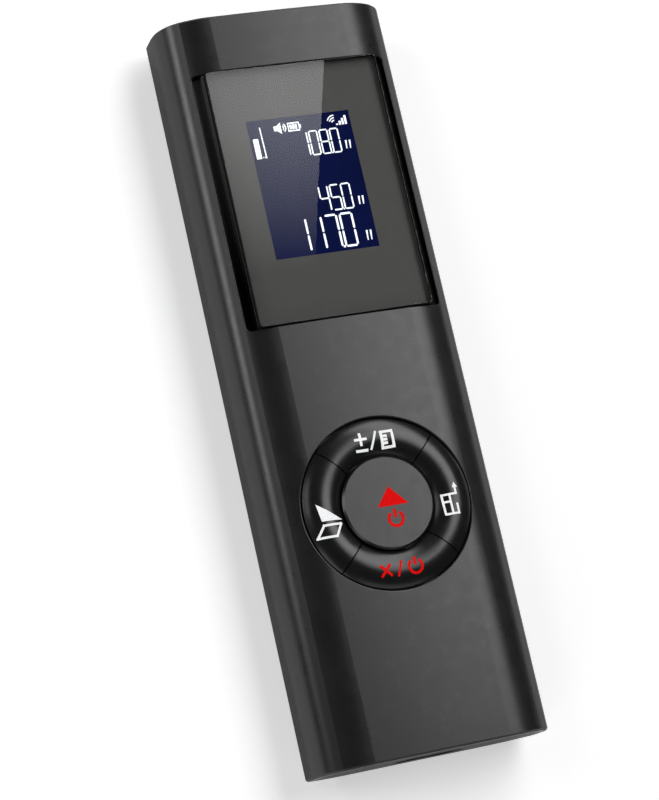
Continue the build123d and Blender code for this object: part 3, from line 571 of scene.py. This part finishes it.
def add_marks(name, polygons, material, node, body, curved=True):
    """Thin solid marks, given as polygons seen from above, laid on a CAD node's upper surface."""
    mesh = bmesh.new()
    for polygon in polygons:
        mesh.faces.new([mesh.verts.new((x, y, 0)) for x, y in polygon])
    bmesh.ops.recalc_face_normals(mesh, faces=mesh.faces)
    if curved:
        cut_into_facets(mesh)
    surface = BVHTree.FromObject(nodes[node], bpy.context.evaluated_depsgraph_get())
    for vertex in mesh.verts:
        vertex.co.z = surface.ray_cast(Vector((vertex.co.x, vertex.co.y, RAY_START)), DOWN)[0].z
    flipped = [f for f in mesh.faces if f.normal.z < 0]
    bmesh.ops.reverse_faces(mesh, faces=flipped)
    raised = bmesh.ops.extrude_face_region(mesh, geom=mesh.faces[:])
    tops = [g for g in raised["geom"] if isinstance(g, bmesh.types.BMVert)]
    bmesh.ops.translate(mesh, verts=tops, vec=(0, 0, MARK_HEIGHT))
    bmesh.ops.recalc_face_normals(mesh, faces=mesh.faces)
    add_piece(name, mesh, material, body)


def on_display(u, v):
    """Point of the display from view fractions, right and down."""
    return VIEW_W * (u - 0.5), VIEW_HIGH - (VIEW_HIGH - VIEW_LOW) * v


def add_lit_marks(name, polygons):
    add_marks(name, polygons, "display_light", "lcd_glass", "meter", curved=False)


def display_marks(name, polygons):
    """Lit marks on the display cell; the polygons are in view fractions."""
    add_lit_marks(name, [[on_display(u, v) for u, v in polygon] for polygon in polygons])


def display_reading(name, text, left, right, top, bottom):
    """A number on the display, in a box given in view fractions."""
    low_left, high_right = on_display(left, bottom), on_display(right, top)
    box = (low_left[0], high_right[0], low_left[1], high_right[1])
    add_lit_marks(name, seven_segment(text, *box))


display_reading("reading_first", "108.0", 0.474, 0.86, 0.12, 0.292)
display_reading("reading_second", "45.0", 0.547, 0.85, 0.523, 0.702)
display_reading("reading_total", "117.0", 0.24, 0.81, 0.735, 0.968)

# Double primes for inches: two slanted ticks
TICK_LEFT = (0.905, 0.942)
TICK_WIDTH_TOP, TICK_WIDTH_END = 0.017, 0.009
TICK_SLANT = 0.001
for index, (top, size) in enumerate([(0.215, 0.06), (0.625, 0.06), (0.875, 0.07)]):
    ticks = []
    for u in TICK_LEFT:
        end_u = u - TICK_SLANT
        end = [(end_u + TICK_WIDTH_END, top + size), (end_u, top + size)]
        ticks.append([(u, top), (u + TICK_WIDTH_TOP, top)] + end)
    display_marks(f"unit_mark_{index + 1}", ticks)


def flattened(quads, centre_y, factor):
    """Polygons squeezed along the display's height, towards a line."""
    return [[(x, centre_y + (y - centre_y) * factor) for x, y in quad] for quad in quads]


SOUND_Y = 0.0725
magnet = rectangle(0.255, 0.285, 0.055, 0.09)
horn = [(0.285, 0.055), (0.325, 0.03), (0.325, 0.115), (0.285, 0.09)]
waves = []
for radius in (0.022, 0.042):
    waves += flattened(arc_band((0.328, SOUND_Y), radius, 0.011, -55, 55, 8), SOUND_Y, 0.8)
display_marks("icon_sound", [magnet, horn] + waves)

charge_outline = outline_bars([(0.395, 0.045), (0.50, 0.045), (0.50, 0.10), (0.395, 0.10)], 0.009)
charge_bars = [rectangle(u, u + 0.02, 0.056, 0.089) for u in (0.408, 0.434, 0.460)]
charge_tip = rectangle(0.505, 0.518, 0.06, 0.085)
display_marks("icon_charge", charge_outline + charge_bars + [charge_tip])

steps = [rectangle(0.858 + 0.029 * i, 0.878 + 0.029 * i, 0.088 - 0.018 * i, 0.098) for i in range(4)]
aerial = []
for radius in (0.026, 0.048, 0.070):
    aerial += flattened(arc_band((0.845, 0.085), radius, 0.010, 205, 275, 6), 0.08, 0.85)
display_marks("icon_signal", steps + aerial)

target = [rectangle(0.035, 0.085, 0.13, 0.275), bar((0.122, 0.05), (0.128, 0.275), 0.011, 0)]
target += [rectangle(0.098 + 0.014 * i, 0.104 + 0.014 * i, 0.262, 0.272) for i in range(2)]
display_marks("icon_distance", target)

# Legends on the keys, in millimetres from the middle of the keypad
button_low, button_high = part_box("measure_button")
PAD_X = (button_low.x + button_high.x) / 2
PAD_Y = (button_low.y + button_high.y) / 2
LINE = 0.34
THIN_LINE = LINE * 0.8
BASE_LINE = LINE * 0.85
POWER_LINE = 0.38


def legend(name, polygons, ink_name, node):
    """Marks printed on one key."""
    placed = [[(PAD_X + x * MM, PAD_Y + y * MM) for x, y in polygon] for polygon in polygons]
    add_marks(name, placed, ink_name, node, node + "_body")


def ruler(left, low, width, height):
    """Upright scale with graduations."""
    right, high = left + width, low + height
    strokes = outline_bars([(left, low), (right, low), (right, high), (left, high)], LINE)
    for fraction in (0.28, 0.5, 0.72):
        y = low + height * fraction
        strokes.append(rectangle(left, left + width / 2, y - LINE / 2, y + LINE / 2))
    return strokes


plus_minus = [bar((-2.75, 8.55), (-1.05, 8.55), LINE, 0), bar((-1.9, 8.72), (-1.9, 9.4), LINE, 0)]
plus_minus += [bar((-1.9, 7.7), (-1.9, 8.38), LINE, 0), bar((-2.75, 7.1), (-1.05, 7.1), LINE, 0)]
slash = bar((-0.65, 7.05), (0.3, 9.35), THIN_LINE, 0)
legend("legend_units", plus_minus + [slash] + ruler(0.95, 7.05, 1.5, 2.05), "white_ink", "unit_key")

prism = [(-9.65, 1.25), (-6.45, -1.1), (-9.3, -1.05)]
base_outline = outline_bars([(-9.15, -1.6), (-6.75, -1.6), (-7.7, -3.15), (-10.2, -3.1)], BASE_LINE)
legend("legend_area", [prism] + base_outline, "white_ink", "area_key")

case = [bar((7.2, -0.2), (7.2, -3.0), THIN_LINE, 0), bar((7.2, -2.9), (9.15, -2.9), THIN_LINE, 0)]
case += [bar((7.2, -0.35), (9.25, -0.35), THIN_LINE, 0), bar((8.2, -0.35), (8.2, -2.9), THIN_LINE, 0)]
case += [bar((7.2, -1.3), (8.2, -1.3), THIN_LINE, 0), bar((9.0, -1.6), (9.0, -2.9), THIN_LINE, 0)]
arrow = [bar((9.12, -0.35), (9.12, 0.5), THIN_LINE, 0), [(8.75, 0.45), (9.5, 0.45), (9.12, 1.15)]]
legend("legend_reference", case + arrow, "white_ink", "reference_key")

cross = [bar((-3.1, -9.35), (-1.7, -7.85), LINE, 0), bar((-3.1, -7.85), (-2.54, -8.46), LINE, 0)]
cross += [bar((-2.26, -8.74), (-1.7, -9.35), LINE, 0)]
slash = bar((-0.9, -9.6), (-0.15, -7.65), THIN_LINE, 0)
power = power_symbol((1.6, -8.65), 0.9, LINE)
legend("legend_clear", cross + [slash] + power, "red_ink", "clear_key")

arrowhead = [(-1.6, -0.5), (2.6, -0.5), (0.35, 2.0)]
power = power_symbol((0.5, -2.25), 0.95, POWER_LINE)
legend("legend_measure", [arrowhead] + power, "red_ink", "measure_button")

# Gold contacts on both faces of the charging socket's tongue
CONTACT_COLUMNS = 12
CONTACT_PITCH = 0.5 * MM
CONTACT_SIZE = Vector((0.28, 3.4, 0.05)) * MM
CONTACT_INSET = 1.9 * MM  # of a contact's middle, from the tongue's outer end
CONTACT_OFFSET = 0.36 * MM  # of a contact's middle, from the tongue's middle
tongue_low, tongue_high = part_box("usb_tongue")
tongue_z = (tongue_low.z + tongue_high.z) / 2
contacts = bmesh.new()
for column in range(CONTACT_COLUMNS):
    x = (column - (CONTACT_COLUMNS - 1) / 2) * CONTACT_PITCH
    for side in (-1, 1):
        middle = Vector((x, tongue_low.y + CONTACT_INSET, tongue_z + side * CONTACT_OFFSET))
        shape = Matrix.Translation(middle) @ Matrix.Diagonal((*CONTACT_SIZE, 1))
        bmesh.ops.create_cube(contacts, size=1, matrix=shape)
add_piece("usb_contacts", contacts, "diode_gold", "meter")


# ------------------------------------------------------------------ floor
def add_set_plane(name, corners, height, material):
    """A flat rectangle of the set, which isn't part of the meter."""
    mesh = bpy.data.meshes.new(name)
    mesh.from_pydata([(x, y, height) for x, y in corners], [], [(0, 1, 2, 3)])
    mesh.materials.append(material)
    plane = bpy.data.objects.new(name, mesh)
    scene_objects.link(plane)
    return plane


FLOOR_SIDE = 12.0
FLOOR_GLOW = (0.46, 0.93)  # near the meter and far off
FLOOR_GLOW_RISE = (0.35, 1.6)  # from and to these distances


def floor_material():
    """Pale matt light table with the faintest mottling.  Its own glow keeps the shadows light, and it
    grows beyond the reach of the lights, so that the far floor is as pale as the near one."""
    material, tree, shader = new_material("studio_floor")
    cloud = spread(tree, noise(tree, 60 * MM, 3), 0, 1)
    tone = mixed(tree, cloud, (0.86, 0.86, 0.865, 1), (0.89, 0.89, 0.895, 1))
    relief = bumped(tree, noise(tree, 0.8 * MM, 4), 0.01 * MM)
    away = add_node(tree, "ShaderNodeVectorMath", {0: place(tree)}, operation="LENGTH").outputs["Value"]
    glow = spread(tree, away, *FLOOR_GLOW, *FLOOR_GLOW_RISE)
    finish(tree, shader, Base_Color=tone, Roughness=0.8, Normal=relief)
    finish(tree, shader, Emission_Color=WHITE, Emission_Strength=glow)
    return material


half = FLOOR_SIDE / 2
floor_corners = [(-half, -half), (half, -half), (half, half), (-half, half)]
add_set_plane("studio_floor", floor_corners, cad_low.z, floor_material())


# ------------------------------------------------------------------ light
def soft_box(name, direction, distance, size, radiance):
    """Rectangular light that faces the meter; radiance is how bright its face is."""
    light = bpy.data.lights.new(name, "AREA")
    light.shape = "RECTANGLE"
    light.size, light.size_y = size
    light.energy = radiance * pi * size[0] * size[1]
    lamp = bpy.data.objects.new(name, light)
    away = Vector(direction).normalized()
    across = Vector((0, 1, 0)).cross(away).normalized()
    turned = Matrix((across, away.cross(across), away)).transposed().to_4x4()
    lamp.matrix_world = Matrix.Translation(away * distance) @ turned
    lamp.visible_camera = False
    scene_objects.link(lamp)


# Direction from the meter, distance, size and radiance.  The two edge boxes carry the right box on towards
# the left, each dimmer than the last, so that its reflection on the housing starts softly.
LIGHTS = {
    "left_low_box": ((-0.91, 0.35, 0.41), 1.0, (0.20, 0.45), 6.8),
    "left_high_box": ((-0.67, 0.35, 0.74), 1.0, (0.20, 0.45), 2.2),
    "right_box": ((0.518, 0.242, 0.823), 1.0, (0.43, 0.52), 4.25),
    "right_box_edge_1": ((0.308, 0.242, 0.940), 1.018, (0.05, 0.52), 3.2),
    "right_box_edge_2": ((0.265, 0.242, 0.964), 1.028, (0.05, 0.52), 1.9),
    "laser_end_box": ((0.56, 1.0, 0.83), 1.0, (0.50, 0.60), 3.6),
    "base_left_box": ((-0.81, -0.70, 0.59), 1.0, (0.45, 0.60), 1.6),
    "base_end_box": ((0.15, -1.0, 0.50), 1.0, (0.90, 0.50), 0.8),
}
for lamp_name, settings in LIGHTS.items():
    soft_box(lamp_name, *settings)

# Card between the right box and the window: it decides what the window reflects
CARD_Z = 0.50
CARD_CORNERS = [(0.120, 0.110), (0.220, 0.110), (0.220, 0.236), (0.120, 0.236)]
CARD_SLANT = 0.272  # how far the edge of the glow moves along X, for each metre along Y
CARD_EDGE = 0.1246  # X of that edge where Y is 0
CARD_RISE = (0.147, 0.206)  # the glow grows from nothing to full between these, along Y
CARD_GLOW = 3.15
CARD_SIDEWAYS = (0.78, 1.0, 0.138, 0.162)  # share of the glow, at these two places along X


def card_material():
    """Black card with a glow along its far left, seen only in sharp reflections, that is in the window."""
    material, tree = bare_material("window_card")
    axes = place_axes(tree)
    slant = math_node(tree, "MULTIPLY", axes["Y"], CARD_SLANT)
    lit = math_node(tree, "LESS_THAN", math_node(tree, "SUBTRACT", axes["X"], slant), CARD_EDGE)
    fade = spread(tree, axes["Y"], 0, CARD_GLOW, *CARD_RISE)
    sideways = spread(tree, axes["X"], *CARD_SIDEWAYS)
    glow = math_node(tree, "MULTIPLY", math_node(tree, "MULTIPLY", lit, fade), sideways)
    face = add_node(tree, "ShaderNodeEmission", {"Strength": glow})
    through = add_node(tree, "ShaderNodeBsdfTransparent")
    sharp = add_node(tree, "ShaderNodeLightPath").outputs["Is Singular Ray"]
    set_surface(tree, mix_shaders(tree, sharp, through, face))
    material.cycles.emission_sampling = "NONE"
    return material


card = add_set_plane("window_card", CARD_CORNERS, CARD_Z, card_material())
card.visible_camera = card.visible_diffuse = card.visible_shadow = card.visible_transmission = False

AMBIENT = 0.03  # of the world, as light
BACKDROP = 0.95  # of the world, as the camera sees it
world = bpy.data.worlds.new("studio")
bpy.context.scene.world = world
world.use_nodes = True
sky = world.node_tree
seen = add_node(sky, "ShaderNodeLightPath").outputs["Is Camera Ray"]
level = math_node(sky, "ADD", AMBIENT, math_node(sky, "MULTIPLY", seen, BACKDROP - AMBIENT))
sky.links.new(level, sky.nodes["Background"].inputs["Strength"])
sky.nodes["Background"].inputs["Color"].default_value = WHITE

# ------------------------------------------------------------------ camera
LENS = 110.55  # mm
SENSOR = 36  # mm, along the picture's longer side
CAMERA_AT = Vector((-102.53, -65.49, 303.84)) * MM
RIGHT = Vector((0.9385, -0.2168, 0.2686))
UP = Vector((0.1487, 0.9562, 0.2523))
BACK = Vector((-0.3115, -0.1968, 0.9296))
camera_data = bpy.data.cameras.new("camera")
camera_data.lens = LENS
camera_data.sensor_width = SENSOR
camera_data.clip_start = 0.01
camera = bpy.data.objects.new("camera", camera_data)
turned = Matrix((RIGHT, UP, BACK)).transposed().to_4x4()
camera.matrix_world = Matrix.Translation(CAMERA_AT) @ turned
scene_objects.link(camera)
bpy.context.scene.camera = camera
bpy.context.scene.view_settings.view_transform = "Standard"
